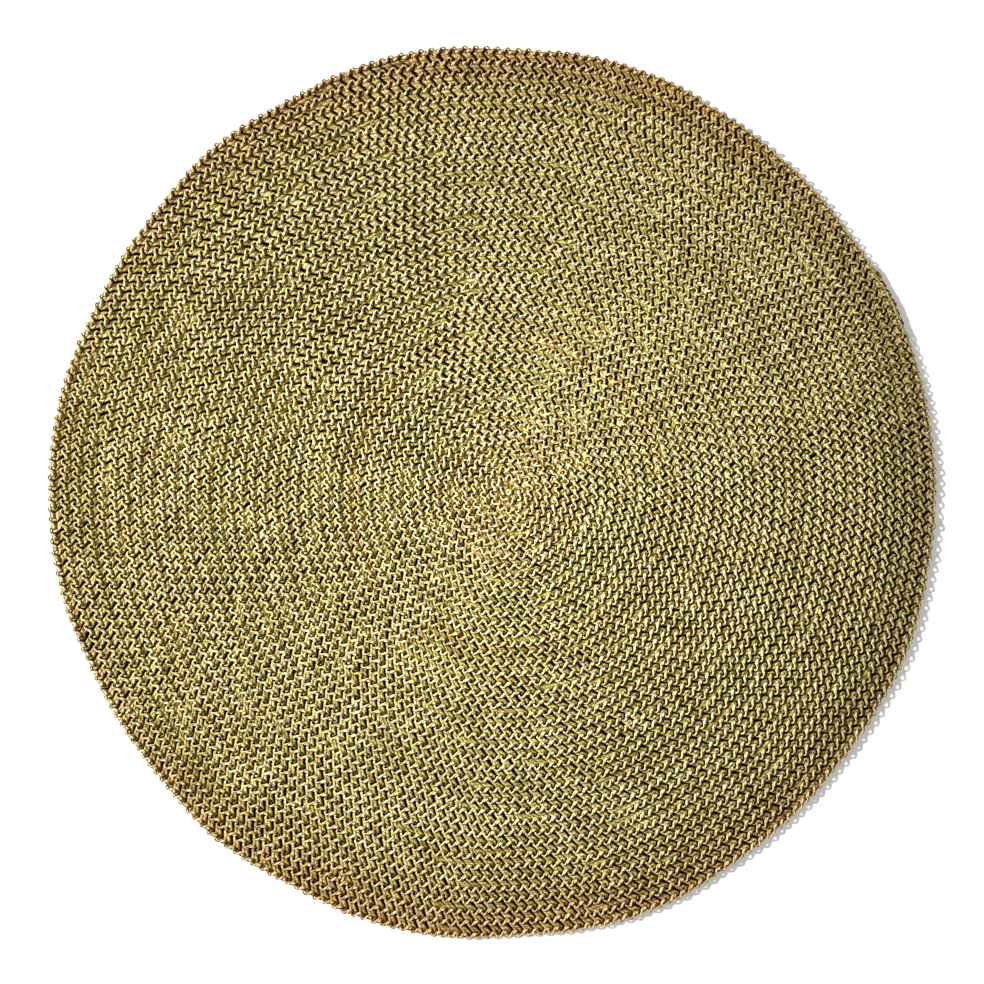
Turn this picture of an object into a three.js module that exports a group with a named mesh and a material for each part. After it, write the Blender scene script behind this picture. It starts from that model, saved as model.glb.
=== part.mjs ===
// A round floor rug of hand-twisted grass cord, crocheted in one continuous spiral from the middle
// outwards. It is a single piece, so it is a single flat solid: the closed outer form of the fabric,
// with its wavy outline and the row of small loops that edges it. Millimetres, +Z up. The origin is
// on the flat underside, below the middle of the rug's box.
import * as THREE from 'three';

const MEAN_RADIUS = 599.5;      // from the middle to the middle of the edge loops
const THICKNESS = 12;           // two cords deep, and a little more where they cross
const CORD = 5.4;               // the twisted cord's diameter, which rounds the edge
const EDGE_LOOPS = 278;         // stitches in the last round
const LOOP_DEPTH = 2.6;         // from a loop's crown to the notch beside it
const STEPS_PER_LOOP = 3;       // one step in the notch and two on the crown

// How far the edge strays from the mean radius, by bearing from +X in degrees. The other side of
// the X axis repeats it. The step in from 24 to 37 degrees is where the last round runs out.
const EDGE_STRAYS = [
  { bearing: 0, out: -1.4 },
  { bearing: 10, out: -0.9 },
  { bearing: 24, out: 0.7 },
  { bearing: 30, out: -2.8 },
  { bearing: 37, out: -5.0 },
  { bearing: 50, out: -2.6 },
  { bearing: 60, out: -0.5 },
  { bearing: 66, out: 4.8 },
  { bearing: 75, out: 6.2 },
  { bearing: 86, out: 0.5 },
  { bearing: 98, out: 6.2 },
  { bearing: 106, out: 5.2 },
  { bearing: 118, out: -0.8 },
  { bearing: 128, out: 2.4 },
  { bearing: 142, out: -5.4 },
  { bearing: 156, out: -5.8 },
  { bearing: 167, out: 0.3 },
  { bearing: 175, out: 2.2 },
  { bearing: 180, out: 0.8 },
];

// The slow wave of the edge: eased from each row of the table to the next.
function strayAt(bearing) {
  const folded = Math.abs(THREE.MathUtils.euclideanModulo(bearing + 180, 360) - 180);
  const next = Math.max(1, EDGE_STRAYS.findIndex((row) => row.bearing >= folded));
  const low = EDGE_STRAYS[next - 1];
  const high = EDGE_STRAYS[next];
  const share = THREE.MathUtils.smoothstep(folded, low.bearing, high.bearing);
  return THREE.MathUtils.lerp(low.out, high.out, share);
}

// The quick wave of the edge: a loop stands out between two notches.
function loopAt(share) {
  const crown = Math.sqrt(Math.abs(Math.sin(Math.PI * share)));
  return LOOP_DEPTH * (crown - 0.5);
}

function rugOutline() {
  const points = [];
  const steps = EDGE_LOOPS * STEPS_PER_LOOP;
  for (let step = 0; step < steps; step += 1) {
    const bearing = (360 * step) / steps;
    const radius = MEAN_RADIUS + strayAt(bearing) + loopAt(step / STEPS_PER_LOOP);
    const angle = THREE.MathUtils.degToRad(bearing);
    points.push(new THREE.Vector2(radius * Math.cos(angle), radius * Math.sin(angle)));
  }
  return new THREE.Shape(points);
}

// The outline is drawn in by the cord's rounding and grows back to full width between the two faces.
function rugGeometry() {
  const rounding = CORD / 2;
  const geometry = new THREE.ExtrudeGeometry(rugOutline(), {
    depth: THICKNESS - 2 * rounding,
    bevelEnabled: true,
    bevelThickness: rounding,
    bevelSize: rounding,
    bevelOffset: -rounding,
    bevelSegments: 1,
    steps: 1,
  });
  geometry.computeBoundingBox();
  const middle = geometry.boundingBox.getCenter(new THREE.Vector3());
  geometry.translate(-middle.x, -middle.y, -geometry.boundingBox.min.z);
  return geometry;
}

const grassCord = new THREE.MeshStandardMaterial({
  color: 0x9c8f5d,
  roughness: 0.85,
  metalness: 0,
});

const rug = new THREE.Mesh(rugGeometry(), grassCord);
rug.name = 'rug';

const part = new THREE.Group();
part.add(rug);

export default part;
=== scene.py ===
"""Looks of a round floor rug, crocheted in one spiral from hand-twisted grass cord.

The rug is single crochet worked through the back loops only. That leaves the front loop of every
stitch on show, and these loops make one wavy cord that winds from the middle to the edge. Between
its turns stand the posts, each a loop of two legs that leans against the working direction.
"""

import logging
import math
from dataclasses import dataclass, field
from typing import NamedTuple

import bmesh
import bpy
import numpy as np
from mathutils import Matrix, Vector


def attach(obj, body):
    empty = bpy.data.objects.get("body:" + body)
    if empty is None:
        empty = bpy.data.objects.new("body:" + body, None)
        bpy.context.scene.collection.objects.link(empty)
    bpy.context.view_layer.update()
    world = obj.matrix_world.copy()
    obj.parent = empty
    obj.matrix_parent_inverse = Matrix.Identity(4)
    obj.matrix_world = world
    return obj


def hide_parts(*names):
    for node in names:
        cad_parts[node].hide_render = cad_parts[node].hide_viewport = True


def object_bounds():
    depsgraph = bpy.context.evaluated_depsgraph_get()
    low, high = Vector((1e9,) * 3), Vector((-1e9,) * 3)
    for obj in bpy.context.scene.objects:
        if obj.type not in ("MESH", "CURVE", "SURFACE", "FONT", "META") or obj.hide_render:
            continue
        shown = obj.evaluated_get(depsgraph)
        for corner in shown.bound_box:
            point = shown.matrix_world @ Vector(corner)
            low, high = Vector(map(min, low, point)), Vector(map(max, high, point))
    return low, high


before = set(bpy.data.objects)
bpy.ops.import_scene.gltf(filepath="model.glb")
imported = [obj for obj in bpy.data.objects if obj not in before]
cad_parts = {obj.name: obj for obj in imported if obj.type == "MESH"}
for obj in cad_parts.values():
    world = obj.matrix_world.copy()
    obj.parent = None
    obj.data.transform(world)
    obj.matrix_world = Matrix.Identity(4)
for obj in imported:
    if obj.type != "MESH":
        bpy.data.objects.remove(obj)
CAD_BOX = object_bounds()

log = logging.getLogger("rug")

Tree = bpy.types.NodeTree
Socket = bpy.types.NodeSocket

MM = 0.001
MM_IN_METRE = 1000.0
RUG = "rug"
BODY = "root"
TURN = 2 * math.pi
SEED = 20

# The layer names that the cord's meshes give and its finish reads.
CORD_MAP = "cord"
ROUND_LAYER = "round"
TONE_LAYER = "tone"

# A Mix node has several sockets of each name, so those for colours and plain values go by number.
MIX_SHARE = 0
VALUE_A, VALUE_B, VALUE_MIXED = 2, 3, 0
COLOUR_A, COLOUR_B, COLOUR_MIXED = 6, 7, 2


# -------- Small helpers --------

def linear(colour: str) -> tuple[float, float, float, float]:
    """Turns an sRGB hex colour to linear.

    Args:
        colour: six hex digits.

    Returns:
        The linear colour with an alpha of 1.
    """
    parts = [int(colour[i:i + 2], 16) / 255 for i in (0, 2, 4)]
    return (*(c / 12.92 if c <= 0.04045 else ((c + 0.055) / 1.055) ** 2.4 for c in parts), 1.0)


def add_node(tree: Tree, kind: str, settings: dict | None = None, values: dict | None = None,
             links: dict | None = None) -> bpy.types.Node:
    """Adds a node with its settings, socket values and incoming links.

    Args:
        tree: the node tree that gets the node.
        kind: the node's type name, after ShaderNode.
        settings: attributes of the node.
        values: plain values of its input sockets, by name or index.
        links: output sockets that feed its input sockets, by name or index.

    Returns:
        The new node.
    """
    node = tree.nodes.new("ShaderNode" + kind)
    for name, value in (settings or {}).items():
        setattr(node, name, value)
    for socket, value in (values or {}).items():
        node.inputs[socket].default_value = value
    for socket, source in (links or {}).items():
        tree.links.new(source, node.inputs[socket])
    return node


def fill_ramp(node: bpy.types.Node, stops: tuple[tuple[float, str], ...]) -> None:
    """Sets a colour ramp's stops.

    Args:
        node: the colour ramp node.
        stops: pairs of position and sRGB hex colour, in order.
    """
    elements = node.color_ramp.elements
    while len(elements) < len(stops):
        elements.new(0.5)
    for element, (position, colour) in zip(elements, stops):
        element.position = position
        element.color = linear(colour)


def seen_ray(tree: Tree) -> Socket:
    """Tells rays that the eye sees, straight or in glass or metal, from rays that only light.

    Args:
        tree: the node tree that gets the nodes.

    Returns:
        A socket with 1 for a seen ray.
    """
    path = add_node(tree, "LightPath")
    mirrored = add_node(tree, "Math", {"operation": "MAXIMUM"}, {},
                        {0: path.outputs["Is Glossy Ray"], 1: path.outputs["Is Transmission Ray"]})
    seen = add_node(tree, "Math", {"operation": "MAXIMUM"}, {},
                    {0: path.outputs["Is Camera Ray"], 1: mirrored.outputs[0]})
    return seen.outputs[0]


def empty_material(name: str) -> bpy.types.Material:
    """Makes a material with an empty node tree.

    Args:
        name: the material's name.

    Returns:
        The material.
    """
    material = bpy.data.materials.new(name)
    material.use_nodes = True
    material.node_tree.nodes.clear()
    return material


def put_in_scene(name: str, content: bpy.types.ID) -> bpy.types.Object:
    """Puts a mesh, lamp or camera into the scene.

    Args:
        name: the object's name.
        content: what it shows.

    Returns:
        The object.
    """
    thing = bpy.data.objects.new(name, content)
    bpy.context.scene.collection.objects.link(thing)
    return thing


def ease(low: float, high: float, value: np.ndarray | float) -> np.ndarray | float:
    """Eases from 0 at low to 1 at high."""
    share = np.clip((value - low) / (high - low), 0, 1)
    return share * share * (3 - 2 * share)


@dataclass(frozen=True)
class Zone:
    """A stretch of some measure over which a look changes, and what it changes from and to."""

    start: float
    end: float
    before: float = 0.0
    after: float = 1.0

    def sockets(self) -> dict[str, float]:
        """Gives the zone as the sockets of a Map Range node."""
        return {"From Min": self.start, "From Max": self.end,
                "To Min": self.before, "To Max": self.after}


# -------- The outline and the spiral that fills it --------

@dataclass
class RugOutline:
    """The rug's edge, read from the flat solid that the looks stand for.

    The rounds are not quite in the middle of the outline: their centre sits a little to +X.

    Attributes:
        centre: the rounds' centre.
        bearings: how many bearings the edge is read for.
        smoothing_deg: the reach of the smoothing to either side.
        edge_share: the share of the rug's reach past which a corner can lie on the edge.
    """

    centre: Vector = field(default_factory=lambda: Vector((23 * MM, 0)))
    bearings: int = 720
    smoothing_deg: float = 4.0
    edge_share: float = 0.5

    def __post_init__(self) -> None:
        """Reads the distance from the rounds' centre to the edge for each bearing."""
        self.distance = self._smoothed(self._widest())
        self.mean = float(self.distance.mean())

    def _widest(self) -> np.ndarray:
        """Finds the solid's farthest corner for each bearing, and fills in between them.

        Returns:
            The distances from the rounds' centre in metres.
        """
        corners = np.array([v.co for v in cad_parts[RUG].data.vertices])
        reach = np.hypot(corners[:, 0], corners[:, 1])
        corners = corners[reach > self.edge_share * reach.max()]
        away = corners[:, :2] - np.array(self.centre)
        angle = np.arctan2(away[:, 1], away[:, 0]) % TURN
        bins = (angle / TURN * self.bearings).astype(int) % self.bearings
        widest = np.zeros(self.bearings)
        np.maximum.at(widest, bins, np.hypot(away[:, 0], away[:, 1]))
        filled = widest > 0
        places = np.arange(self.bearings)
        return np.interp(places, places[filled], widest[filled], period=self.bearings)

    def _smoothed(self, distance: np.ndarray) -> np.ndarray:
        """Smooths distances round the full turn, which takes out the loops at the edge.

        Args:
            distance: a distance for each bearing.

        Returns:
            The smooth distances.
        """
        reach = int(self.smoothing_deg / 360 * self.bearings) | 1
        kernel = np.hanning(2 * reach + 3)[1:-1]
        size = len(kernel)
        padded = np.concatenate([distance[-size:], distance, distance[:size]])
        return np.convolve(padded, kernel / kernel.sum(), "same")[size:-size]

    def at(self, angle: np.ndarray) -> np.ndarray:
        """Gives the edge's distance from the rounds' centre.

        Args:
            angle: bearings in radians, of any number of turns.

        Returns:
            The distances in metres.
        """
        place = (angle % TURN) / TURN * self.bearings
        middles = np.arange(self.bearings) + 0.5
        return np.interp(place, middles, self.distance, period=self.bearings)


@dataclass
class Spiral:
    """How the crochet winds: the radius of a round's chain line, and the pitch of its stitches.

    Attributes:
        outline: the edge that the last round meets.
        rounds: how many rounds there are.
        first_pitch: the distance between the first rounds.
        edge_inset: how far the last chain line stays inside the edge.
        end_bearing: where the last round runs out.
        ramp: the share of a turn in which an outer round steps up.
        start_round: the level of the first stitch.
        even_until: the last round that winds evenly, counted from the edge.
        stepped_from: the first round that steps fully, counted from the edge.
        most_stray: the share of the rounds up to which the outline's waves still grow.
        inner_stitch: the width of a stitch in the middle.
        outer_stitch: the width of a stitch at the edge.
        stitch_growth_rounds: how many rounds most of the growth takes.
    """

    outline: RugOutline
    rounds: int = 43
    first_pitch: float = 12.15 * MM
    edge_inset: float = 3.1 * MM
    end_bearing: float = math.radians(31)
    ramp: float = 22 / 360
    start_round: float = 0.35
    even_until: int = 8
    stepped_from: int = 2
    most_stray: float = 1.1
    inner_stitch: float = 11.7 * MM
    outer_stitch: float = 13.8 * MM
    stitch_growth_rounds: float = 8.0

    def __post_init__(self) -> None:
        """Works out how fast the rounds widen, so that the last one meets the edge."""
        rim = self.outline.mean - self.edge_inset
        self.widening = (rim - self.first_pitch * self.rounds) / self.rounds ** 2
        self.end_angle = self.rounds * TURN + self.end_bearing

    def rounds_at(self, angle: np.ndarray | float) -> np.ndarray | float:
        """Gives the rounds done at an unwrapped angle; whole numbers fall on the end's bearing."""
        return (angle - self.end_angle) / TURN + self.rounds

    def level(self, angle: np.ndarray | float) -> np.ndarray | float:
        """Gives the round that the chain line has reached at an unwrapped angle.

        Inside it rises evenly, as a spiral does. Towards the edge each turn keeps its level and
        steps up in one short ramp, so that the last round runs out flush with the one below.

        Args:
            angle: unwrapped angles in radians.

        Returns:
            The rounds, with the part of a round that is done.
        """
        done = self.rounds_at(angle)
        whole = np.floor(done)
        step = ease(1 - self.ramp, 1, done - whole)
        stepped = np.minimum(whole + 1 + step, self.rounds)
        # Over a turn, that is half a round ahead of the rounds done.
        evenly = done + 0.5
        share = ease(self.rounds - self.even_until, self.rounds - self.stepped_from, done)
        return (1 - share) * evenly + share * stepped

    def radius(self, angle: np.ndarray | float,
               level: np.ndarray | float | None = None) -> np.ndarray:
        """Gives the chain line's distance from the rounds' centre.

        Args:
            angle: unwrapped angles in radians.
            level: rounds, where they are not those of the spiral itself.

        Returns:
            The distances in metres.
        """
        level = self.level(angle) if level is None else level
        plain = level * (self.first_pitch + self.widening * level)
        stray = self.outline.at(np.asarray(angle)) / self.outline.mean - 1
        return plain * (1 + stray * np.minimum(level / self.rounds, self.most_stray))

    def stitch_width(self, level: float) -> float:
        """Gives the width that a stitch settles to on a round."""
        growth = 1 - math.exp(-level / self.stitch_growth_rounds)
        return self.inner_stitch + (self.outer_stitch - self.inner_stitch) * growth


@dataclass
class Stitches:
    """Where each stitch of the spiral stands, and which stitch below carries it.

    The stitches are laid one after another, as they are worked. Each leans back by a fixed share
    of a stitch from the one that carries it, and where the round below gets too short for it, a
    second stitch goes into the same place.

    Attributes:
        spiral: how the crochet winds.
        lean: how far a stitch leans back, as a share of its width.
        pull: how strongly a stitch that strays is pulled back to its place.
        most_lag: the largest straying that is answered, as a share of its width.
        uneven: the spread of the stitches' widths.
        ring_gap: how near to its start, in stitches, the first round ends.
        due_at: how much of a stitch has to be due before a second one is worked.
        due_spread: how far that differs from stitch to stitch.
        evening: how far a stitch moves towards the middle of its neighbours.
        evening_passes: how often they do that.
        first_height: the height of the first round's stitches, as a share of its radius.
    """

    spiral: Spiral
    lean: float = 0.24
    pull: float = 0.32
    most_lag: float = 0.8
    uneven: float = 0.025
    ring_gap: float = 0.8
    due_at: float = 0.5
    due_spread: float = 0.3
    evening: float = 0.25
    evening_passes: int = 2
    first_height: float = 0.8

    def __post_init__(self) -> None:
        """Lays the stitches and finishes their places."""
        self._lay()
        self._finish_places()

    def _lay(self) -> None:
        """Works the stitches one after another, each into the one below that carries it.

        A stitch's carrier is that one's number, and it is a second one where that one is shared.
        """
        spiral = self.spiral
        rng = np.random.default_rng(SEED)
        angle = [spiral.end_angle - (spiral.rounds - spiral.start_round) * TURN]
        carrier = [-1]
        second = [False]
        below = -1
        due = 0.0
        limit = self.due_at
        while True:
            last = angle[-1]
            width = spiral.stitch_width(float(spiral.level(last))) / float(spiral.radius(last))
            step = width
            repeat = False
            if last - angle[0] > TURN - self.ring_gap * width:
                repeat = due > limit
                if not repeat:
                    below += 1
                    due += (angle[below + 1] - angle[below]) / width
                    limit = self.due_at + rng.uniform(-self.due_spread, self.due_spread)
                due -= 1
                target = angle[below + 1] + TURN - self.lean * width
                lag = (target - last - width) / width - max(0.0, due)
                step = width * (1 + self.pull * np.clip(lag, -self.most_lag, self.most_lag))
            step *= 1 + rng.normal(0, self.uneven)
            if last + step > spiral.end_angle:
                break
            angle.append(last + step)
            carrier.append(below)
            second.append(repeat)
        self.angle = np.array(angle)
        self.carrier = np.array(carrier)
        self.second = np.array(second)
        self.count = len(angle)

    def _finish_places(self) -> None:
        """Evens out the spacing and works out each stitch's radius, level, width and height."""
        for _ in range(self.evening_passes):
            inner = self.angle[1:-1]
            towards = self.angle[:-2] - 2 * inner + self.angle[2:]
            self.angle[1:-1] = inner + self.evening * towards
        self.radius = self.spiral.radius(self.angle)
        self.level = self.spiral.level(self.angle)
        # The first round has none below it, and its stitches get a height of their own.
        below = np.maximum(self.angle - TURN, self.angle[0] - 1)
        self.height = self.radius - self.spiral.radius(below)
        first = self.carrier < 0
        self.height[first] = self.radius[first] * self.first_height
        after_last = 2 * self.angle[-1] - self.angle[-2]
        self.width = np.diff(self.angle, append=after_last) * self.radius

    def last_turn(self, turns: float = 1.0) -> np.ndarray:
        """Tells which stitches are in the last turns of the spiral."""
        return self.angle > self.angle[-1] - TURN * turns


# -------- The stitch --------

class LoopPoint(NamedTuple):
    """A point that the cord passes, in millimetres, for a stitch of the usual size.

    across runs against the working direction and out runs towards the rug's edge, both from the
    place where the stitch's own chain loop starts. up is the height above the floor. thick is the
    cord's share of its usual radius. grip is 0 where the point keeps to the round below and 1
    where it keeps to its own round.
    """

    across: float
    out: float
    up: float
    thick: float = 1.0
    grip: float = 1.0


USUAL_WIDTH = 13.5
USUAL_HEIGHT = 15.2
USUAL_LEAN = 2.95

# The front loop of one stitch, in the working direction: it comes out from under the loop before
# it, bends over the narrow crest and swells down the neck into the thick belly of the chain.
FRONT_LOOP = (
    LoopPoint(2.5, -1.0, 7.6, 0.72),
    LoopPoint(2.4, 0.8, 8.6, 0.70),
    LoopPoint(1.1, 2.2, 9.2, 0.64),
    LoopPoint(-0.9, 2.4, 9.4, 0.64),
    LoopPoint(-2.9, 1.4, 9.5, 0.68),
    LoopPoint(-4.5, -0.5, 9.6, 0.80),
    LoopPoint(-6.2, -2.7, 9.3, 1.06),
    LoopPoint(-8.8, -3.5, 9.0, 1.18),
    LoopPoint(-12.0, -3.4, 8.8, 1.14),
)

# The back loop, which closes the edge of the last round underneath.
BACK_LOOP = (
    LoopPoint(0.6, -2.9, 5.6, 1.25),
    LoopPoint(-2.4, -1.2, 4.8, 1.25),
    LoopPoint(-6.6, -1.0, 4.4, 1.25),
    LoopPoint(-10.4, -1.9, 4.6, 1.25),
    LoopPoint(-13.6, -2.9, 5.4, 1.25),
)

# The two legs of one stitch's post, placed from the loop below that carries it. Both lean against
# the working direction. The back leg turns at the top and ducks under the stitch's own belly.
BACK_LEG = (
    LoopPoint(-2.1, 0.2, 4.2, 1.28, 0.0),
    LoopPoint(-5.0, 3.8, 5.5, 1.22, 0.1),
    LoopPoint(-8.1, 7.3, 6.2, 1.22, 0.4),
    LoopPoint(-12.2, 9.1, 6.0, 1.00, 0.8),
    LoopPoint(-10.7, 13.0, 6.2, 1.04, 1.0),
)
FRONT_LEG = (
    LoopPoint(2.8, 0.3, 4.4, 1.30, 0.0),
    LoopPoint(-3.6, 7.3, 6.0, 1.24, 0.3),
    LoopPoint(-6.4, 11.8, 6.4, 1.24, 0.9),
)


@dataclass
class Strands:
    """Centre lines of like stretches of cord, one row for each stretch.

    Attributes:
        points: places in metres, as stretch, step, axis.
        thickness: the cord's radius at each place.
        level: the round at each place.
        tone: the tone of the cord at each place.
    """

    points: np.ndarray
    thickness: np.ndarray
    level: np.ndarray
    tone: np.ndarray


@dataclass
class Crochet:
    """Turns the stitches into centre lines of cord.

    Attributes:
        stitches: the stitches of the whole rug.
        cord_radius: the cord's usual radius.
        wander: how far a stitch lies off its place, sideways.
        rise_share: how much of that it lies off upwards.
        lumpiness: the spread of the cord's thickness.
        crowding: how much the cord thins where its round is lower than usual.
        thinnest: the least that leaves of it.
        thickest: the most that it swells to on a higher round.
        tone_spread: how much each stitch's own tone differs.
        run_spread: how much the tone differs from one short or long run of stitches to the next.
        run_stitches: the length of a short run.
        long_run_stitches: the length of a long run.
        shared_gap_mm: how far two stitches that share a loop stand to either side of it.
        usual_room_mm: the room that a post of the usual thickness has.
        least_fill: how thin a post's cord gets where it has less room.
        most_fill: how thick it gets where it has more.
        start_radius: the radius of the cord's small ring in the middle, and of the cord in it.
        start_turns: how far that ring winds.
        start_points: how many points it has.
        start_low_mm: the height at which it starts.
        start_high_mm: the height at which it ends.
    """

    stitches: Stitches
    cord_radius: float = 2.36 * MM
    wander: float = 0.38 * MM
    rise_share: float = 0.7
    lumpiness: float = 0.05
    crowding: float = 0.45
    thinnest: float = 0.85
    thickest: float = 1.05
    tone_spread: float = 0.11
    run_spread: float = 0.04
    run_stitches: int = 9
    long_run_stitches: int = 70
    shared_gap_mm: float = 2.2
    usual_room_mm: float = 11.5
    least_fill: float = 0.95
    most_fill: float = 1.15
    start_radius: float = 2.6 * MM
    start_turns: float = 1.15
    start_points: int = 14
    start_low_mm: float = 6.6
    start_high_mm: float = 7.6

    def __post_init__(self) -> None:
        """Draws each stitch's small faults and its tone."""
        rng = np.random.default_rng(SEED + 1)
        count = self.stitches.count
        faults = rng.normal(0, 1, (count, 3))
        self.fault = faults * self.wander * np.array([1, 1, self.rise_share])
        self.lump = 1 + rng.normal(0, self.lumpiness, count)
        own = rng.normal(0, 1, count)
        run = self._smoothed(rng.normal(0, 1, count), self.run_stitches)
        long_run = self._smoothed(rng.normal(0, 1, count), self.long_run_stitches)
        self.tone = 0.5 + self.tone_spread * own + self.run_spread * (run + long_run)

    @staticmethod
    def _smoothed(noise: np.ndarray, reach: int) -> np.ndarray:
        """Smooths noise along the cord and brings it back to a spread of 1.

        Args:
            noise: a value for each stitch.
            reach: how many stitches to either side are taken in.

        Returns:
            The smooth noise.
        """
        kernel = np.hanning(2 * reach + 3)
        smooth = np.convolve(noise, kernel / kernel.sum(), "same")
        return smooth / smooth.std()

    @staticmethod
    def _columns(table: tuple[LoopPoint, ...]) -> tuple[np.ndarray, ...]:
        """Turns a table of points to one row of numbers for each column."""
        across, out, up, thick, grip = np.array(table).T[:, None, :]
        return across, out, up * MM, thick, grip

    def _place(self, index: np.ndarray, across: np.ndarray,
               out: np.ndarray) -> tuple[np.ndarray, np.ndarray]:
        """Places offsets from a stitch's chain line.

        Args:
            index: the stitches.
            across: offsets against the working direction, in usual millimetres.
            out: offsets towards the edge, in usual millimetres.

        Returns:
            The unwrapped angles and the distances from the rounds' centre.
        """
        s = self.stitches
        wide = across * s.width[index] / USUAL_WIDTH
        high = out * s.height[index] / USUAL_HEIGHT
        return s.angle[index] - wide / s.radius[index], s.radius[index] + high

    def _to_room(self, angle: np.ndarray, distance: np.ndarray, up: np.ndarray) -> np.ndarray:
        """Turns angles, distances and heights to places in the frame that all pieces share.

        Args:
            angle: unwrapped angles in radians.
            distance: distances from the rounds' centre.
            up: heights above the floor.

        Returns:
            The places, with the axis last.
        """
        centre = self.stitches.spiral.outline.centre
        x = centre.x + distance * np.cos(angle)
        y = centre.y + distance * np.sin(angle)
        return np.stack([x, y, np.broadcast_to(up, x.shape)], axis=-1)

    def _thickness(self, index: np.ndarray, thick: np.ndarray) -> np.ndarray:
        """Gives the cord's radius at a table's points, a little less where it is crowded.

        Args:
            index: the stitches.
            thick: the table's column of thicknesses.

        Returns:
            The radii in metres, a row for each stitch.
        """
        height = self.stitches.height[index] / (USUAL_HEIGHT * MM)
        crowd = np.clip(1 + self.crowding * (height - 1), self.thinnest, self.thickest)
        return (self.cord_radius * crowd * self.lump[index])[:, None] * thick

    def loops(self, index: np.ndarray, table: tuple[LoopPoint, ...]) -> Strands:
        """Lays a loop of cord along each stitch's chain line.

        Args:
            index: the stitches.
            table: the points of one loop.

        Returns:
            One strand for each stitch.
        """
        across, out, up, thick, _ = self._columns(table)
        angle, distance = self._place(index[:, None], across, out)
        thickness = self._thickness(index, thick)
        return Strands(
            self._to_room(angle, distance, up) + self.fault[index][:, None, :],
            thickness,
            np.broadcast_to(self.stitches.level[index][:, None], thickness.shape),
            np.broadcast_to(self.tone[index][:, None], thickness.shape),
        )

    def legs(self, index: np.ndarray, table: tuple[LoopPoint, ...]) -> Strands:
        """Runs a leg of cord up each stitch's post.

        Args:
            index: the stitches.
            table: the points of one leg.

        Returns:
            One strand for each stitch.
        """
        s = self.stitches
        across, out, up, thick, grip = self._columns(table)
        below = np.maximum(s.carrier[index], 0)
        is_second = s.second[index]
        has_second = np.roll(s.second, -1)[index]
        aside = self.shared_gap_mm * (has_second.astype(float) - is_second)[:, None]
        low_angle, low_distance = self._place(below[:, None], across + aside, out)
        low_angle = low_angle + TURN
        top_across = across + USUAL_WIDTH - USUAL_LEAN
        high_angle, high_distance = self._place(index[:, None], top_across, out - USUAL_HEIGHT)
        first_round = s.carrier[index] < 0
        low_angle[first_round] = high_angle[first_round]
        low_distance[first_round] = high_distance[first_round]
        angle = low_angle * (1 - grip) + high_angle * grip
        distance = low_distance * (1 - grip) + high_distance * grip
        hold = grip[..., None]
        shift = self.fault[below][:, None, :] * (1 - hold) + self.fault[index][:, None, :] * hold
        run = (low_angle[:, 0] - high_angle[:, -1]) * s.radius[index]
        rise = high_distance[:, -1] - low_distance[:, 0]
        thickness = self._thickness(index, thick) * self._swelling(index, run, rise)[:, None]
        # A post stands half a round further in than its own chain.
        return Strands(
            self._to_room(angle, distance, up) + shift,
            thickness,
            np.broadcast_to((s.level[index] - 0.5)[:, None], thickness.shape),
            np.broadcast_to(self.tone[index][:, None], thickness.shape),
        )

    def _swelling(self, index: np.ndarray, run: np.ndarray, rise: np.ndarray) -> np.ndarray:
        """Tells how far the cord swells in a post that is wider or stands more upright.

        Args:
            index: the stitches.
            run: how far each post leans, in metres.
            rise: how far it stands up towards the edge, in metres.

        Returns:
            The thickness of the cord as a share of its usual one.
        """
        rise = np.maximum(rise, 1 * MM)
        room = self.stitches.width[index] * rise / np.hypot(run, rise)
        return np.clip(room / (self.usual_room_mm * MM), self.least_fill, self.most_fill)

    def start(self) -> Strands:
        """Winds the small ring of cord that the first round is worked into.

        Returns:
            One strand.
        """
        row = (1, self.start_points)
        turn = np.linspace(0, self.start_turns * TURN, self.start_points)
        up = np.linspace(self.start_low_mm, self.start_high_mm, self.start_points) * MM
        distance = np.full(self.start_points, self.start_radius)
        places = self._to_room(turn, distance, up)[None]
        return Strands(places, np.full(row, self.start_radius), np.zeros(row), np.full(row, 0.5))


# -------- Cord meshes --------

# How many sides a cord's section has.
SIDES = 5

# Each stretch's map starts this many metres further along, so that no two look alike.
STRETCH_OFFSET = 0.083


class MeshPart(NamedTuple):
    """The corners, faces, map and layers of a part of a cord mesh."""

    corners: np.ndarray
    faces: np.ndarray
    sizes: np.ndarray
    uvs: np.ndarray
    rounds: np.ndarray
    tones: np.ndarray


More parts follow.
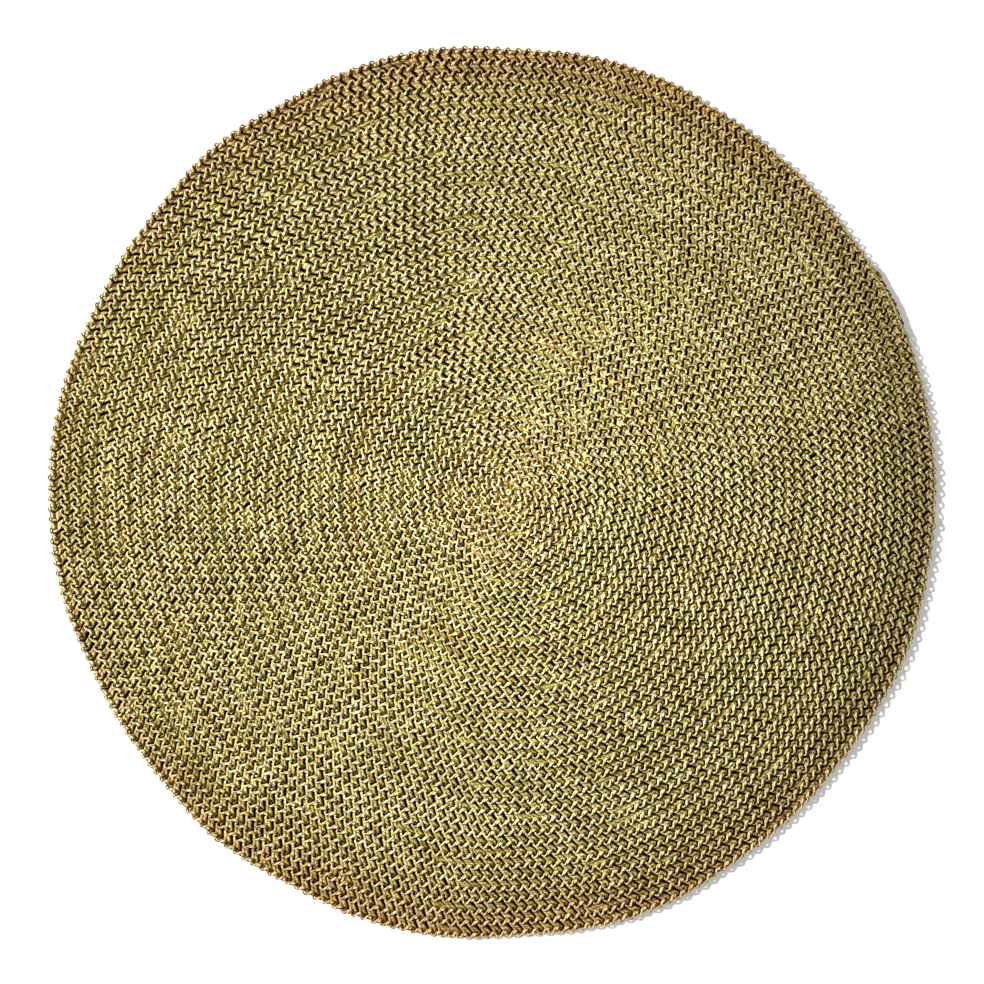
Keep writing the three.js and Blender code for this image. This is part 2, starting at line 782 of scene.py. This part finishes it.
@dataclass
class CordMesh:
    """Sweeps a round section along strands and joins them into one mesh."""

    name: str
    strands: list[Strands]

    def build(self) -> bpy.types.Object:
        """Builds the object.

        Returns:
            The object, with a cord map in UV (turns round the cord, metres along it) and the
            attributes round and tone.
        """
        parts = []
        start = 0
        for strands in self.strands:
            parts.append(self._sweep(strands, start))
            start += len(parts[-1].corners)
        whole = MeshPart(*(np.concatenate(values) for values in zip(*parts)))
        mesh = bpy.data.meshes.new(self.name)
        self._fill(mesh, whole)
        for name, values in ((ROUND_LAYER, whole.rounds), (TONE_LAYER, whole.tones)):
            layer = mesh.attributes.new(name, "FLOAT", "POINT")
            layer.data.foreach_set("value", values.astype(np.float32))
        return put_in_scene(self.name, mesh)

    @classmethod
    def _sweep(cls, strands: Strands, start: int) -> MeshPart:
        """Works out rings round each centre line, the faces between them and the end caps.

        Args:
            strands: the centre lines.
            start: how many corners the mesh already has.

        Returns:
            The part of the mesh.
        """
        points = strands.points
        points[..., 2] = np.maximum(points[..., 2], strands.thickness)
        count, steps = points.shape[:2]
        run = np.linalg.norm(np.diff(points, axis=1), axis=2)
        length = np.concatenate([np.zeros((count, 1)), np.cumsum(run, axis=1)], axis=1)
        length += np.arange(count)[:, None] * STRETCH_OFFSET

        strand, step, edge = np.meshgrid(np.arange(count), np.arange(steps - 1),
                                         np.arange(SIDES), indexing="ij")
        base = start + (strand * steps + step) * SIDES
        over = (edge + 1) % SIDES
        quads = np.stack([base + edge, base + over, base + SIDES + over, base + SIDES + edge], -1)
        low, high = length[strand, step], length[strand, step + 1]
        left, right = edge / SIDES, (edge + 1) / SIDES
        quad_uv = np.stack([np.stack(pair, -1) for pair in
                            ((left, low), (right, low), (right, high), (left, high))], -2)

        ends = start + np.arange(count)[:, None] * steps * SIDES
        first = ends + np.arange(SIDES)[::-1]
        last = ends + (steps - 1) * SIDES + np.arange(SIDES)
        caps = np.concatenate([first, last]).reshape(-1)
        cap_uv = np.zeros((len(caps), 2))
        cap_uv[:, 0] = np.tile(np.arange(SIDES) / SIDES, 2 * count)
        cap_uv[:, 1] = np.repeat(np.concatenate([length[:, 0], length[:, -1]]), SIDES)
        return MeshPart(
            cls._rings(points, strands.thickness).reshape(-1, 3),
            np.concatenate([quads.reshape(-1), caps]),
            np.concatenate([np.full(quads.size // 4, 4), np.full(2 * count, SIDES)]),
            np.concatenate([quad_uv.reshape(-1, 2), cap_uv]),
            np.repeat(strands.level.reshape(-1), SIDES),
            np.repeat(strands.tone.reshape(-1), SIDES),
        )

    @staticmethod
    def _rings(points: np.ndarray, thickness: np.ndarray) -> np.ndarray:
        """Places a ring of corners round each point, square to the cord there.

        Args:
            points: the centre lines.
            thickness: the cord's radius at each point.

        Returns:
            The corners, as stretch, step, side, axis.
        """
        along = np.gradient(points, axis=1)
        along /= np.linalg.norm(along, axis=2, keepdims=True)
        up = np.array([0.0, 0.0, 1.0]) - along * along[..., 2:3]
        up /= np.maximum(np.linalg.norm(up, axis=2, keepdims=True), 1e-9)
        side = np.cross(along, up)
        turn = (np.arange(SIDES) / SIDES * TURN + math.pi)[:, None]
        ring = np.cos(turn) * up[:, :, None, :] + np.sin(turn) * side[:, :, None, :]
        return points[:, :, None, :] + ring * thickness[:, :, None, None]

    @staticmethod
    def _fill(mesh: bpy.types.Mesh, part: MeshPart) -> None:
        """Puts the corners, the faces and the cord map into the mesh.

        Args:
            mesh: an empty mesh.
            part: the whole of what goes in.
        """
        mesh.vertices.add(len(part.corners))
        mesh.vertices.foreach_set("co", part.corners.astype(np.float32).ravel())
        mesh.loops.add(len(part.faces))
        mesh.loops.foreach_set("vertex_index", part.faces.astype(np.int32))
        mesh.polygons.add(len(part.sizes))
        starts = np.concatenate([[0], np.cumsum(part.sizes)[:-1]])
        mesh.polygons.foreach_set("loop_start", starts.astype(np.int32))
        mesh.update(calc_edges=True)
        mesh.polygons.foreach_set("use_smooth", np.ones(len(part.sizes), bool))
        layer = mesh.uv_layers.new(name=CORD_MAP)
        layer.data.foreach_set("uv", part.uvs.astype(np.float32).ravel())


# -------- The body of the fabric --------

@dataclass
class FabricBody:
    """The closed inner body of the fabric, which fills the gaps between the cords.

    Its top is hidden under the stitches and its underside has the ridges of the rounds.

    Attributes:
        spiral: how the crochet winds.
        top: the height of the body.
        ridge: how far the underside hollows between two rounds.
        inset: how far the body stays inside the chain line.
        rim_rounds: the width of the rounded rim, in rounds.
        rim_share: how far its underside hollows, as a share of a ridge.
        top_step: how many rounds there are from one ring of corners on the top to the next.
        spokes: how many steps the section is spun in.
        weld: the distance under which corners are merged.
    """

    spiral: Spiral
    top: float = 3.8 * MM
    ridge: float = 1.3 * MM
    inset: float = 1.6 * MM
    rim_rounds: float = 0.05
    rim_share: float = 0.6
    top_step: int = 3
    spokes: int = 144
    weld: float = 0.01 * MM

    def _section(self) -> list[tuple[float, float]]:
        """Draws the section, from the middle of the underside round to the middle of the top.

        Returns:
            Pairs of a round and a height.
        """
        rounds = self.spiral.rounds
        section = [(0.0, self.ridge)]
        for half in range(1, 2 * rounds):
            section.append((half / 2, self.ridge if half % 2 == 0 else 0.0))
        section.append((rounds - self.rim_rounds, self.ridge * self.rim_share))
        section.append((float(rounds), self.top / 2))
        section.append((rounds - self.rim_rounds, self.top))
        for level in range(rounds - 2, 0, -self.top_step):
            section.append((float(level), self.top))
        section.append((0.0, self.top))
        return section

    def build(self) -> bpy.types.Object:
        """Spins the section round, in rounds, and fits it to the outline.

        Returns:
            The object.
        """
        bm = bmesh.new()
        chain = [bm.verts.new((level, 0, up)) for level, up in self._section()]
        for one, two in zip(chain, chain[1:]):
            bm.edges.new((one, two))
        bmesh.ops.spin(bm, geom=bm.verts[:] + bm.edges[:], cent=(0, 0, 0), axis=(0, 0, 1),
                       angle=TURN, steps=self.spokes, use_merge=True)
        bmesh.ops.remove_doubles(bm, verts=bm.verts[:], dist=self.weld)
        centre = self.spiral.outline.centre
        for vert in bm.verts:
            level = math.hypot(vert.co.x, vert.co.y)
            angle = math.atan2(vert.co.y, vert.co.x) % TURN
            distance = float(self.spiral.radius(angle, level)) - self.inset * min(1, level)
            distance = max(0.0, distance)
            vert.co.x = centre.x + distance * math.cos(angle)
            vert.co.y = centre.y + distance * math.sin(angle)
        bmesh.ops.recalc_face_normals(bm, faces=bm.faces[:])
        for face in bm.faces:
            face.smooth = True
        mesh = bpy.data.meshes.new("fabric_body")
        bm.to_mesh(mesh)
        bm.free()
        return put_in_scene("fabric_body", mesh)


# -------- Finishes --------

# The cord's colour from the middle of the rug to its edge, by the share of the rounds.
RING_COLOURS = (
    (0.0, "FFE9B7"),
    (0.17, "FEE9B7"),
    (0.22, "ECE6B0"),
    (0.35, "EAE4AE"),
    (0.38, "F8DCA0"),
    (0.405, "DAD29A"),
    (0.44, "E8DDA8"),
    (0.66, "D8CE9A"),
    (0.705, "C6BE88"),
    (0.75, "D3C898"),
    (0.82, "C9BE8C"),
    (0.84, "D3C08F"),
    (0.88, "C6BC86"),
    (0.93, "BCB27A"),
    (0.965, "B09E6C"),
    (1.0, "B2946A"),
)

# The colour of one stitch's cord, by its tone.
TONE_COLOURS = (
    (0.0, "887A42"),
    (0.3, "B5AE68"),
    (0.5, "D8D09A"),
    (0.7, "EBE0AE"),
    (1.0, "FAF2D4"),
)

# Greener and rustier blades.
TINTS = (
    (0.36, "F8FFF4"),
    (0.5, "FFFFFF"),
    (0.64, "FFF7EE"),
)

# Painted shade: how cord that lies deeper between the stitches darkens, by its share of the way up.
PAINTED_SHADE_BY_HEIGHT = (
    (0.0, "5E3C08"),
    (0.5, "B6AA66"),
    (1.0, "FFFFFF"),
)

# How the grain and the painted shade of the grooves darken the cord, by half their strength;
# doubled after, the upper half paints highlights.
GRAIN_AND_PAINTED_LIGHT = (
    (0.0, "000000"),
    (0.12, "6A5A2C"),
    (0.25, "90845A"),
    (0.5, "BCBCBC"),
    (1.0, "FFFFFF"),
)


@dataclass(frozen=True)
class CordSkin:
    """How raised, rough and glossy the surface of a cord is."""

    relief: float
    relief_strength: float
    roughness: float
    gloss: float

    def close(self, tree: Tree, colour: Socket, height: Socket) -> None:
        """Ends a finish with its relief, its shader and its output.

        Args:
            tree: the node tree that gets the nodes.
            colour: the colour of the surface.
            height: its height, as a share of the relief.
        """
        bump = add_node(tree, "Bump", {},
                        {"Strength": self.relief_strength, "Distance": self.relief},
                        {"Height": height})
        shader = add_node(tree, "BsdfPrincipled", {},
                          {"Roughness": self.roughness, "Specular IOR Level": self.gloss},
                          {"Base Color": colour, "Normal": bump.outputs[0]})
        add_node(tree, "OutputMaterial", links={0: shader.outputs[0]})


@dataclass(frozen=True)
class GrassCord:
    """Hand-twisted cord of dried grass: two plies of dull olive and straw blades.

    Attributes:
        rounds: how many rounds the ring colours run over.
        twist_mm: the length in which a ply goes half round the cord.
        streaks_round: how many streaks a ply has across it.
        streak_mm: the length of a streak.
        blade_mm: the size of the patches in which blades differ in tint.
        speck_mm: the size of a speck of frayed skin, which is partly a painted highlight.
        patch_mm: the size of a rusty patch.
        tone_share: how much a stitch's own tone counts against its ring's colour.
        blade_share: how much a single blade's tint counts against its stitch's.
        bundle_tints: how many tints there are over the range of tones.
        rim: the share of the rounds over which the edge's colours come in.
        end_rust: the distance from the X axis over which the edge turns to rust.
        side_brown: the place along X over which the edge turns to brown.
        patch_rust: how rust comes in with the patches' noise.
        side_painted_light: painted light, from lighter at -X to darker at +X.
        painted_shade_depth: the heights between which the cord comes out of its painted shade
            between the stitches.
        groove: painted shade, which lets the light come in from the groove to the swell of a ply.
        streak: how the streaks darken and lighten the cord, lightening it past its colour as
            painted highlights.
        mottle: how the specks do.
        rust: the colour of rust.
        brown: the colour of the edge at +X.
        blade_relief: how high the blades stand against the plies.
        skin: the relief, roughness and gloss.
    """

    rounds: int = Spiral.rounds
    twist_mm: float = 9.0
    streaks_round: float = 10.0
    streak_mm: float = 7.7
    blade_mm: float = 3.85
    speck_mm: float = 1.47
    patch_mm: float = 36.0
    tone_share: float = 0.45
    blade_share: float = 0.7
    bundle_tints: float = 60.0
    rim: Zone = Zone(0.84, 0.96)
    end_rust: Zone = Zone(0.22, 0.56, 0.0, 0.4)
    side_brown: Zone = Zone(0.30, 0.60, 0.0, 0.6)
    patch_rust: Zone = Zone(0.60, 0.75, 0.0, 0.2)
    side_painted_light: Zone = Zone(-0.6, 0.6, 1.24, 0.82)
    # Painted shade: the lower the cord lies between the stitches, the darker it is painted.
    painted_shade_depth: Zone = Zone(5.6 * MM, 9.4 * MM)
    # Painted shade in the grooves, and painted highlights where streaks and specks lift the cord
    # past its colour.
    groove: Zone = Zone(0.05, 0.55, 0.4, 1.05)
    streak: Zone = Zone(0.32, 0.68, 0.05, 2.25)
    mottle: Zone = Zone(0.35, 0.65, 0.05, 2.15)
    rust: str = "B07C48"
    brown: str = "8E8050"
    blade_relief: float = 0.35
    skin: CordSkin = CordSkin(relief=1.4 * MM, relief_strength=0.9, roughness=0.78, gloss=0.35)

    def material(self) -> bpy.types.Material:
        """Builds the material.

        Returns:
            The material, which reads the cord map and the attributes round and tone.
        """
        # Grass dried to a dull skin and twisted by hand: next to no gloss, straw, olive and rust of
        # its own, painted light that is brighter at -X, painted highlights of pale straw on the
        # crowns of the plies, and painted shade that turns olive further down and near black
        # between the cords.
        material = empty_material("dried_grass_hand_twisted")
        tree = material.node_tree
        place = add_node(tree, "TexCoord").outputs["Object"]
        rounds = add_node(tree, "Attribute", {"attribute_name": ROUND_LAYER})
        share = add_node(tree, "Math", {"operation": "DIVIDE"}, {1: self.rounds},
                         {0: rounds.outputs["Fac"]}).outputs[0]
        colour = self._grass(tree, place, share)
        colour = self._edge(tree, place, share, colour)
        colour = self._paint_side_light_and_shade(tree, place, colour)
        grain_and_painted_light, height = self._twist(tree, place)
        self.skin.close(tree, self._paint_grain_light_and_shade(tree, colour, grain_and_painted_light), height)
        return material

    def _grass(self, tree: Tree, place: Socket, share: Socket) -> Socket:
        """Mixes the ring's colour with the stitch's tone, and tints single blades.

        Args:
            tree: the node tree that gets the nodes.
            place: the place in the rug.
            share: the share of the rounds.

        Returns:
            The colour's socket.
        """
        tone = add_node(tree, "Attribute", {"attribute_name": TONE_LAYER}).outputs["Fac"]
        ring = add_node(tree, "ValToRGB", links={0: share})
        fill_ramp(ring, RING_COLOURS)
        tones = add_node(tree, "ValToRGB", links={0: tone})
        fill_ramp(tones, TONE_COLOURS)
        mixed = add_node(tree, "Mix", {"data_type": "RGBA"},
                         {MIX_SHARE: self.tone_share},
                         {COLOUR_A: ring.outputs[0], COLOUR_B: tones.outputs[0]})

        # Some stitches are drier and rusty, others greener, and single blades differ likewise.
        bundle = add_node(tree, "TexNoise", {"noise_dimensions": "1D"},
                          {"Scale": self.bundle_tints, "Detail": 0.0}, {"W": tone})
        blade = add_node(tree, "TexNoise", {},
                         {"Scale": MM_IN_METRE / self.blade_mm, "Detail": 2.0}, {"Vector": place})
        either = add_node(tree, "Mix", {"data_type": "FLOAT"},
                          {MIX_SHARE: self.blade_share},
                          {VALUE_A: bundle.outputs["Fac"], VALUE_B: blade.outputs["Fac"]})
        tint = add_node(tree, "ValToRGB", links={0: either.outputs[VALUE_MIXED]})
        fill_ramp(tint, TINTS)
        tinted = add_node(tree, "Mix", {"data_type": "RGBA", "blend_type": "MULTIPLY"},
                          {MIX_SHARE: 1.0},
                          {COLOUR_A: mixed.outputs[COLOUR_MIXED], COLOUR_B: tint.outputs[0]})
        return tinted.outputs[COLOUR_MIXED]

    def _edge(self, tree: Tree, place: Socket, share: Socket, colour: Socket) -> Socket:
        """Turns the last rounds to rust at both ends of Y, and to a dark brown at +X.

        A few rusty patches lie all over the rug as well.

        Args:
            tree: the node tree that gets the nodes.
            place: the place in the rug.
            share: the share of the rounds.
            colour: the colour so far.

        Returns:
            The new colour's socket.
        """
        axes = add_node(tree, "SeparateXYZ", links={0: place})
        rim = add_node(tree, "MapRange", {}, self.rim.sockets(), {"Value": share})
        side = add_node(tree, "MapRange", {}, self.side_brown.sockets(),
                        {"Value": axes.outputs["X"]})
        brown_rim = add_node(tree, "Math", {"operation": "MULTIPLY"}, {},
                             {0: rim.outputs[0], 1: side.outputs[0]})
        browned = add_node(tree, "Mix", {"data_type": "RGBA"},
                           {COLOUR_B: linear(self.brown)},
                           {MIX_SHARE: brown_rim.outputs[0], COLOUR_A: colour})

        off_axis = add_node(tree, "Math", {"operation": "ABSOLUTE"}, {},
                            {0: axes.outputs["Y"]})
        ends = add_node(tree, "MapRange", {}, self.end_rust.sockets(),
                        {"Value": off_axis.outputs[0]})
        rusty_rim = add_node(tree, "Math", {"operation": "MULTIPLY"}, {},
                             {0: rim.outputs[0], 1: ends.outputs[0]})
        patch = add_node(tree, "TexNoise", {},
                         {"Scale": MM_IN_METRE / self.patch_mm, "Detail": 3.0, "Roughness": 0.6},
                         {"Vector": place})
        rusty_patch = add_node(tree, "MapRange", {}, self.patch_rust.sockets(),
                               {"Value": patch.outputs["Fac"]})
        rusty = add_node(tree, "Math", {"operation": "MAXIMUM"}, {},
                         {0: rusty_patch.outputs[0], 1: rusty_rim.outputs[0]})
        rusted = add_node(tree, "Mix", {"data_type": "RGBA"},
                          {COLOUR_B: linear(self.rust)},
                          {MIX_SHARE: rusty.outputs[0], COLOUR_A: browned.outputs[COLOUR_MIXED]})
        return rusted.outputs[COLOUR_MIXED]

    def _paint_side_light_and_shade(self, tree: Tree, place: Socket, colour: Socket) -> Socket:
        """Paints light, lighter at -X and darker at +X, and paints shade on the cord that lies deep
        between the stitches.

        Args:
            tree: the node tree that gets the nodes.
            place: the place in the rug.
            colour: the colour so far.

        Returns:
            The new colour's socket.
        """
        axes = add_node(tree, "SeparateXYZ", links={0: place})
        # Painted light: the colour is scaled up at -X and down at +X.
        side_painted_light = add_node(tree, "MapRange", {}, self.side_painted_light.sockets(),
                        {"Value": axes.outputs["X"]})
        side_lit_colour = add_node(tree, "VectorMath", {"operation": "SCALE"}, {},
                         {0: colour, "Scale": side_painted_light.outputs[0]})
        # Painted shade on the cord that lies deep between the stitches.
        painted_shade_depth = add_node(tree, "MapRange", {}, self.painted_shade_depth.sockets(),
                         {"Value": axes.outputs["Z"]})
        painted_shade = add_node(tree, "ValToRGB", links={0: painted_shade_depth.outputs[0]})
        fill_ramp(painted_shade, PAINTED_SHADE_BY_HEIGHT)
        shaded = add_node(tree, "Mix", {"data_type": "RGBA", "blend_type": "MULTIPLY"},
                          {MIX_SHARE: 1.0},
                          {COLOUR_A: side_lit_colour.outputs[0], COLOUR_B: painted_shade.outputs[0]})
        return shaded.outputs[COLOUR_MIXED]

    def _twist(self, tree: Tree, place: Socket) -> tuple[Socket, Socket]:
        """Draws the two plies with painted shade in their grooves, and the streaks of their blades
        and the specks of frayed skin, partly painted highlights.

        Args:
            tree: the node tree that gets the nodes.
            place: the place in the rug.

        Returns:
            The sockets of its grain with its painted light and shade, and of its height.
        """
        cord = add_node(tree, "UVMap", {"uv_map": CORD_MAP})
        turns = add_node(tree, "SeparateXYZ", links={0: cord.outputs[0]})
        twice = add_node(tree, "Math", {"operation": "MULTIPLY"}, {1: 2.0},
                         {0: turns.outputs["X"]})
        along = add_node(tree, "Math", {"operation": "MULTIPLY"},
                         {1: MM_IN_METRE / self.twist_mm}, {0: turns.outputs["Y"]})
        phase = add_node(tree, "Math", {"operation": "ADD"}, {},
                         {0: twice.outputs[0], 1: along.outputs[0]})
        angle = add_node(tree, "Math", {"operation": "MULTIPLY"}, {1: TURN / 2},
                         {0: phase.outputs[0]})
        ply = add_node(tree, "Math", {"operation": "SINE"}, {}, {0: angle.outputs[0]})
        swell = add_node(tree, "Math", {"operation": "ABSOLUTE"}, {}, {0: ply.outputs[0]})
        # Painted shade in the grooves between the plies.
        groove = add_node(tree, "MapRange", {"interpolation_type": "SMOOTHSTEP"},
                          self.groove.sockets(), {"Value": swell.outputs[0]})

        around = add_node(tree, "CombineXYZ", {}, {},
                          {0: phase.outputs[0], 1: turns.outputs["Y"]})
        blades = add_node(tree, "Mapping", {},
                          {"Scale": (self.streaks_round, MM_IN_METRE / self.streak_mm, 1.0)},
                          {0: around.outputs[0]})
        fibre = add_node(tree, "TexNoise", {},
                         {"Scale": 1.0, "Detail": 3.0, "Roughness": 0.6},
                         {"Vector": blades.outputs[0]})
        streak = add_node(tree, "MapRange", {}, self.streak.sockets(),
                          {"Value": fibre.outputs["Fac"]})
        # Frayed fibres are finer than this in truth, and are drawn coarse enough to show. Where
        # they lighten the cord past its colour, they are painted highlights.
        speck = add_node(tree, "TexNoise", {},
                         {"Scale": MM_IN_METRE / self.speck_mm, "Detail": 3.0, "Roughness": 0.75},
                         {"Vector": place})
        mottle = add_node(tree, "MapRange", {}, self.mottle.sockets(),
                          {"Value": speck.outputs["Fac"]})
        both = add_node(tree, "Math", {"operation": "MULTIPLY"}, {},
                        {0: mottle.outputs[0], 1: streak.outputs[0]})
        # The grain with its painted shade and highlights.
        grain_and_painted_light = add_node(tree, "Math", {"operation": "MULTIPLY"}, {},
                        {0: groove.outputs[0], 1: both.outputs[0]})
        height = add_node(tree, "Math", {"operation": "MULTIPLY_ADD"},
                          {1: self.blade_relief}, {0: fibre.outputs["Fac"], 2: swell.outputs[0]})
        return grain_and_painted_light.outputs[0], height.outputs[0]

    def _paint_grain_light_and_shade(self, tree: Tree, colour: Socket, grain_and_painted_light: Socket) -> Socket:
        """Lightens and darkens the colour with the grain and the painted light: painted shade,
        olive brown where darker, and painted highlights past the colour.

        A ramp ends at 1 and this goes to 2, so it is halved before and doubled after.

        Args:
            tree: the node tree that gets the nodes.
            colour: the colour so far.
            grain_and_painted_light: the grain of the cord's surface, with its painted light and
                shade.

        Returns:
            The new colour's socket.
        """
        half = add_node(tree, "Math", {"operation": "MULTIPLY"}, {1: 0.5}, {0: grain_and_painted_light})
        painted_light_ramp = add_node(tree, "ValToRGB", links={0: half.outputs[0]})
        fill_ramp(painted_light_ramp, GRAIN_AND_PAINTED_LIGHT)
        grained_and_lit = add_node(tree, "Mix", {"data_type": "RGBA", "blend_type": "MULTIPLY"},
                         {MIX_SHARE: 1.0}, {COLOUR_A: colour, COLOUR_B: painted_light_ramp.outputs[0]})
        # Doubling paints highlights past the cord's own colour.
        doubled = add_node(tree, "VectorMath", {"operation": "SCALE"}, {"Scale": 2.0},
                           {0: grained_and_lit.outputs[COLOUR_MIXED]})
        return doubled.outputs[0]


@dataclass(frozen=True)
class InnerCord:
    """The turns of cord inside the fabric, painted near black as shade, which show as darkness
    between the stitches.

    The painted_shade_depth is the zone of heights in which the underside's two colours turn to the
    inner one, the painted shade.
    """

    # Painted shade: the inner colour is near black, where the stitches keep the light off the cord.
    inner: str = "2E1C00"
    under_dark: str = "6E6238"
    under_light: str = "B0A26A"
    painted_shade_depth: Zone = Zone(1.5 * MM, 2.5 * MM)
    grain_mm: float = 6.25
    skin: CordSkin = CordSkin(relief=1 * MM, relief_strength=0.6, roughness=0.95, gloss=0.1)

    def material(self) -> bpy.types.Material:
        """Builds the material.

        Returns:
            The material.
        """
        # The same dried grass, packed tight: from above a flat brown black, which is painted shade,
        # and dull olive with a soft grain on the underside.
        material = empty_material("dried_grass_inside_the_stitches_painted_shade")
        tree = material.node_tree
        place = add_node(tree, "TexCoord").outputs["Object"]
        axes = add_node(tree, "SeparateXYZ", links={0: place})
        upward = add_node(tree, "MapRange", {}, self.painted_shade_depth.sockets(),
                          {"Value": axes.outputs["Z"]})
        grain = add_node(tree, "TexNoise", {},
                         {"Scale": MM_IN_METRE / self.grain_mm, "Detail": 4.0}, {"Vector": place})
        under = add_node(tree, "Mix", {"data_type": "RGBA"},
                         {COLOUR_A: linear(self.under_dark), COLOUR_B: linear(self.under_light)},
                         {MIX_SHARE: grain.outputs["Fac"]})
        colour = add_node(tree, "Mix", {"data_type": "RGBA"},
                          {COLOUR_B: linear(self.inner)},
                          {MIX_SHARE: upward.outputs[0], COLOUR_A: under.outputs[COLOUR_MIXED]})
        self.skin.close(tree, colour.outputs[COLOUR_MIXED], grain.outputs["Fac"])
        return material


@dataclass(frozen=True)
class StudioFloor:
    """A plain matt floor, near white, that keeps the rug's shadow."""

    colour: str = "F6F6F4"
    lift: float = 0.4

    def material(self) -> bpy.types.Material:
        """Builds the material.

        Returns:
            The material.
        """
        # Matt wall paint: one even pale tone with no gloss at all. It glows a little to the eye,
        # which keeps its shadow pale, and lights nothing.
        material = empty_material("matt_paint_rolled")
        tree = material.node_tree
        glow = add_node(tree, "Math", {"operation": "MULTIPLY"}, {1: self.lift},
                        {0: seen_ray(tree)})
        paint = linear(self.colour)
        shader = add_node(tree, "BsdfPrincipled", {},
                          {"Base Color": paint, "Roughness": 1.0, "Specular IOR Level": 0.0,
                           "Emission Color": paint}, {"Emission Strength": glow.outputs[0]})
        add_node(tree, "OutputMaterial", links={0: shader.outputs[0]})
        return material


# -------- The rug --------

@dataclass
class CrochetedRug:
    """The whole rug: the body of the fabric and the bands of rounds that cover it.

    The bands are of like area, and the back loops run a little more than a turn along the edge.
    """

    bands: int = 6
    edge_turns: float = 1.08

    def build(self) -> None:
        """Builds and dresses every piece."""
        outline = RugOutline()
        spiral = Spiral(outline)
        stitches = Stitches(spiral)
        crochet = Crochet(stitches)
        log.info("%d stitches, %d in the last round", stitches.count, stitches.last_turn().sum())
        finish = GrassCord().material()
        pieces = [self._band(crochet, band, finish) for band in range(self.bands)]
        body = FabricBody(spiral).build()
        self._dress(body, InnerCord().material())

    def _band(self, crochet: Crochet, band: int, finish: bpy.types.Material) -> bpy.types.Object:
        """Builds one band of rounds.

        Args:
            crochet: the cord's centre lines.
            band: which band, from the middle out.
            finish: the cord's material.

        Returns:
            The band's object.
        """
        stitches = crochet.stitches
        rounds = stitches.spiral.rounds
        first, last = (round(rounds * math.sqrt(k / self.bands)) for k in (band, band + 1))
        outermost = band == self.bands - 1
        inside = (stitches.level >= first) & (stitches.level < last)
        index = np.nonzero(inside)[0]
        if outermost:
            index = np.arange(index[0], stitches.count)
        strands = [
            crochet.loops(index, FRONT_LOOP),
            crochet.legs(index, BACK_LEG),
            crochet.legs(index, FRONT_LEG),
        ]
        if band == 0:
            strands.append(crochet.start())
        if outermost:
            edge = np.nonzero(stitches.last_turn(self.edge_turns))[0]
            strands.append(crochet.loops(edge, BACK_LOOP))
        piece = CordMesh(f"rounds_{first + 1:02d}_to_{last:02d}", strands).build()
        self._dress(piece, finish)
        return piece

    @staticmethod
    def _dress(piece: bpy.types.Object, finish: bpy.types.Material) -> None:
        """Gives a piece its finish, hangs it on the rug's body and hides the solid that it stands
        for.

        Args:
            piece: the piece.
            finish: its material.
        """
        piece.data.materials.append(finish)
        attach(piece, BODY)
        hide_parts(RUG)
        log.info("%s: %d faces", piece.name, len(piece.data.polygons))


# -------- The studio --------

@dataclass
class Studio:
    """The floor, the lights and the camera straight above the rug.

    The key light's bearing, counted from +X, its height and its softness are in degrees.
    """

    floor_size: float = 12.0
    picture_width: float = 1.3284
    lens_mm: float = 100.0
    key_bearing: float = 165.0
    key_height: float = 34.0
    key_strength: float = 6.8
    key_softness: float = 9.0
    sky_strength: float = 0.13

    def build(self) -> None:
        """Sets up everything round the rug."""
        self._floor()
        self._key()
        self._sky()
        self._camera()
        bpy.context.scene.view_settings.view_transform = "Standard"

    def _floor(self) -> None:
        """Lays the floor."""
        bm = bmesh.new()
        bmesh.ops.create_grid(bm, x_segments=1, y_segments=1, size=self.floor_size / 2)
        mesh = bpy.data.meshes.new("floor")
        bm.to_mesh(mesh)
        bm.free()
        floor = put_in_scene("floor", mesh)
        floor.data.materials.append(StudioFloor().material())
        log.info("floor: %.1f m", self.floor_size)

    def _key(self) -> None:
        """Hangs a broad soft key light."""
        key = bpy.data.lights.new("key", "SUN")
        key.energy = self.key_strength
        key.angle = math.radians(self.key_softness)
        bearing, height = math.radians(self.key_bearing), math.radians(self.key_height)
        towards = Vector((math.cos(bearing) * math.cos(height),
                          math.sin(bearing) * math.cos(height), math.sin(height)))
        put_in_scene("key", key).rotation_euler = towards.to_track_quat("Z", "Y").to_euler()

    def _sky(self) -> None:
        """Spreads a sky that looks white past the floor's edge and lights the rug only a little."""
        world = bpy.data.worlds.new("sky")
        world.use_nodes = True
        bpy.context.scene.world = world
        tree = world.node_tree
        strength = add_node(tree, "MapRange", {}, Zone(0, 1, self.sky_strength).sockets(),
                            {"Value": seen_ray(tree)})
        sky = tree.nodes["Background"]
        sky.inputs["Color"].default_value = (1, 1, 1, 1)
        tree.links.new(strength.outputs[0], sky.inputs["Strength"])

    def _camera(self) -> None:
        """Puts the camera over the middle of the rug."""
        data = bpy.data.cameras.new("camera")
        data.lens = self.lens_mm
        distance = self.picture_width / data.sensor_width * data.lens
        camera = put_in_scene("camera", data)
        camera.location = (0, 0, CAD_BOX[1].z + distance)
        bpy.context.scene.camera = camera


def main() -> None:
    """Builds the rug and its studio."""
    logging.basicConfig(level=logging.INFO, format="%(name)s: %(message)s")
    CrochetedRug().build()
    Studio().build()


if __name__ == "__main__":
    main()
